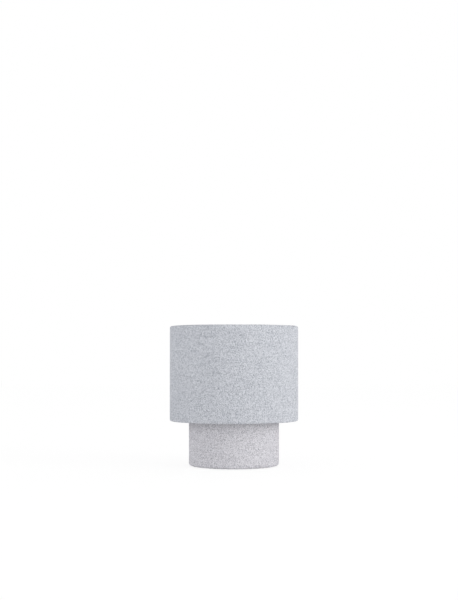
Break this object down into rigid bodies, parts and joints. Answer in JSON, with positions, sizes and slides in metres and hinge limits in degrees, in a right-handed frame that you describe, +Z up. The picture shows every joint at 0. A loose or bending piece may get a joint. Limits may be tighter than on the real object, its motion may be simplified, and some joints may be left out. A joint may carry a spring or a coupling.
{
  "type": "candle lamp with shade",
  "caption": "Cordless table lamp: a cloth-wrapped weighted drum holds a battery candle with a swinging flame, under a wider cloth drum shade that lifts off.",
  "frame": {"origin": "middle of the foot, on the surface that the lamp stands on", "axes": "+Z up along the axis of both drums, -Y towards the front, +X to the right seen from the front"},
  "size_m": [0.16, 0.16, 0.174],
  "materials": {
    "felt": "dense needled felt",
    "housing_plastic": "moulded, fine grain",
    "weight_steel": "zinc plated, dull",
    "screw_steel": "nickel plated",
    "base_cloth": "pale grey woven melange cloth",
    "deck_paint": "satin powder coat",
    "well_metal": "spun and anodised",
    "soft_pad": "foam rubber",
    "soft_ring": "clear silicone",
    "liner_sheet": "white laminate sheet",
    "shade_cloth": "blue grey woven melange cloth",
    "ring_steel": "zinc plated wire",
    "frame_paint": "white powder coat on wire",
    "wax": "ivory wax",
    "core_plastic": "moulded",
    "cap_plastic": "moulded, fine grain",
    "holder_plastic": "moulded",
    "cell_jacket": "plain shrink sleeve",
    "contact_metal": "nickel plated",
    "switch_plastic": "moulded",
    "wire_jacket": "insulation",
    "board_laminate": "green laminate",
    "component_plastic": "moulded",
    "bobbin_plastic": "moulded",
    "coil_copper": "enamelled copper wire",
    "chimney_plastic": "moulded, satin",
    "pivot_steel": "drawn wire",
    "light_lens": "clear lens",
    "flame_plastic": "frosted translucent",
    "magnet_plating": "nickel plated",
    "knob_plastic": "moulded"
  },
  "bodies": {
    "base": {"foot_pad": "felt", "base_housing": "housing_plastic", "ballast_disc": "weight_steel", "ballast_screws": "screw_steel", "base_fabric": "base_cloth", "deck_plate": "deck_paint", "candle_well": "well_metal", "deck_screws": "screw_steel", "well_pad": "soft_pad", "seat_gasket": "soft_ring"},
    "shade": {"shade_liner": "liner_sheet", "shade_fabric": "shade_cloth", "shade_top_ring": "ring_steel", "shade_frame": "frame_paint"},
    "candle": {"candle_shell": "wax", "candle_core": "core_plastic", "bottom_cap": "cap_plastic", "cap_screws": "screw_steel", "battery_holder": "holder_plastic", "battery_cells": "cell_jacket", "contact_spring": "contact_metal", "contact_plate": "contact_metal", "switch_body": "switch_plastic", "switch_leads": "wire_jacket", "control_board": "board_laminate", "board_parts": "component_plastic", "coil_bobbin": "bobbin_plastic", "drive_coil": "coil_copper", "flame_chimney": "chimney_plastic", "pivot_wire": "pivot_steel", "flame_led": "light_lens", "led_leads": "contact_metal"},
    "flame": {"flame": "flame_plastic", "flame_magnet": "magnet_plating"},
    "battery_door": {"battery_door": "cap_plastic", "door_contact": "contact_metal"},
    "switch_knob": {"switch_knob": "knob_plastic"}
  },
  "joints": [
    {"name": "shade_lift", "type": "slide", "parent": "base", "child": "shade", "axis": [0, 0, 1], "range_m": [0, 0.12]},
    {"name": "candle_lift", "type": "slide", "parent": "base", "child": "candle", "axis": [0, 0, 1], "range_m": [0, 0.17]},
    {"name": "flame_swing", "type": "hinge", "parent": "candle", "child": "flame", "pos_m": [0, 0, 0.0993], "axis": [0, 1, 0], "range_deg": [-8, 8]},
    {"name": "battery_door_turn", "type": "hinge", "parent": "candle", "child": "battery_door", "pos_m": [0, 0, 0.0179], "axis": [0, 0, 1], "range_deg": [0, 50]},
    {"name": "switch_slide", "type": "slide", "parent": "candle", "child": "switch_knob", "axis": [1, 0, 0], "range_m": [0, 0.0025]}
  ]
}
